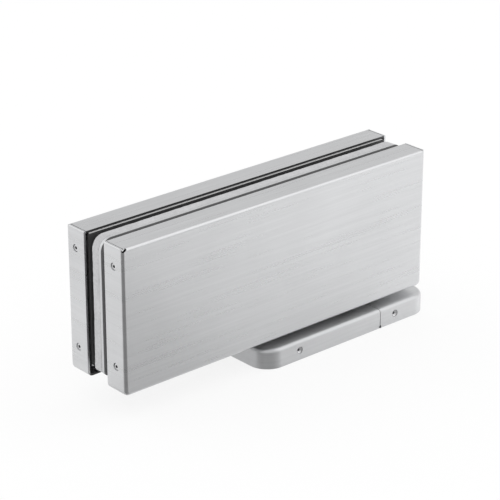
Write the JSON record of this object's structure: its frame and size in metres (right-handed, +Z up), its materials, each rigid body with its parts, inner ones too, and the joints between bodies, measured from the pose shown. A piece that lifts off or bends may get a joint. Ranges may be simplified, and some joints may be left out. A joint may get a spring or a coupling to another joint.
{
  "type": "hydraulic floor hinge",
  "caption": "Self-closing bottom hinge for a frameless glass door: a clamp with a hydraulic closer inside, on a spindle that stands in a floor plate.",
  "frame": {"origin": "on the spindle's axis, at the floor plate's underside", "axes": "+Z up along the spindle, +X towards the pivot end of the door, +Y towards the rear cover"},
  "size_m": [0.2115, 0.053, 0.0944],
  "materials": {
    "satin_stainless": "satin, fine lengthwise grain",
    "stainless_screw": "turned, bright",
    "cast_aluminium": "die-cast, blasted",
    "zinc_plated_steel": "zinc plated, dull",
    "ground_steel": "ground",
    "bearing_steel": "polished",
    "spring_steel": "oil tempered",
    "black_bolt_steel": "black oxide",
    "black_gasket": "smooth, matt",
    "pale_fibre": "pressed fibre, rough edge",
    "seal_rubber": "smooth",
    "bronze": "sintered",
    "nylon": "moulded"
  },
  "bodies": {
    "floor_base": {"base_plate": "zinc_plated_steel", "spindle": "ground_steel", "spindle_set_screws": "black_bolt_steel", "bearing_inner_ring": "bearing_steel", "long_base_cover": "satin_stainless", "short_base_cover": "satin_stainless", "base_cover_screws": "stainless_screw"},
    "door_side": {"rear_cover": "satin_stainless", "rear_cover_screws": "stainless_screw", "closer_body": "cast_aluminium", "rear_clamp_plate": "cast_aluminium", "guide_ring": "cast_aluminium", "end_plug": "cast_aluminium", "clamp_sleeves": "zinc_plated_steel", "seal_retainer": "ground_steel", "channel_plug": "ground_steel", "bearing_outer_ring": "bearing_steel", "bearing_balls": "bearing_steel", "left_spring": "spring_steel", "right_spring": "spring_steel", "guide_retaining_ring": "spring_steel", "plate_screws": "black_bolt_steel", "rear_gasket": "black_gasket", "spindle_seal": "seal_rubber", "end_plug_o_ring": "seal_rubber", "top_bush": "bronze", "bearing_cage": "nylon"},
    "piston": {"rack_rod": "ground_steel", "piston_head": "ground_steel", "piston_seal_ring": "nylon", "check_valve_ball": "bearing_steel", "check_valve_plug": "ground_steel"},
    "front_half": {"front_clamp_plate": "cast_aluminium", "front_gasket": "pale_fibre", "front_cover": "satin_stainless", "front_cover_screws": "stainless_screw", "clamp_bolts": "black_bolt_steel", "clamp_washers": "zinc_plated_steel"},
    "closing_valve": {"closing_valve": "ground_steel", "closing_valve_o_ring": "seal_rubber"},
    "latching_valve": {"latching_valve": "ground_steel", "latching_valve_o_ring": "seal_rubber"}
  },
  "joints": [
    {"name": "door_swing", "type": "hinge", "parent": "floor_base", "child": "door_side", "pos_m": [0, 0, 0], "axis": [0, 0, 1], "range_deg": [-90, 90], "stiffness_Nm_per_rad": 4},
    {"name": "piston_slide", "type": "slide", "parent": "door_side", "child": "piston", "axis": [1, 0, 0], "range_m": [-0.00943, 0.00943], "deforming": ["left_spring", "right_spring"]},
    {"name": "clamp_slide", "type": "slide", "parent": "door_side", "child": "front_half", "axis": [0, -1, 0], "range_m": [0, 0.008]},
    {"name": "closing_valve_turn", "type": "hinge", "parent": "door_side", "child": "closing_valve", "pos_m": [-0.115, -0.0202, 0.0215], "axis": [0, -1, 0], "range_deg": [0, 360]},
    {"name": "latching_valve_turn", "type": "hinge", "parent": "door_side", "child": "latching_valve", "pos_m": [-0.065, -0.0202, 0.0215], "axis": [0, -1, 0], "range_deg": [0, 360]}
  ],
  "couplings": [
    {"joint": "piston_slide", "follows": "door_swing", "m_per_rad": 0.006}
  ]
}
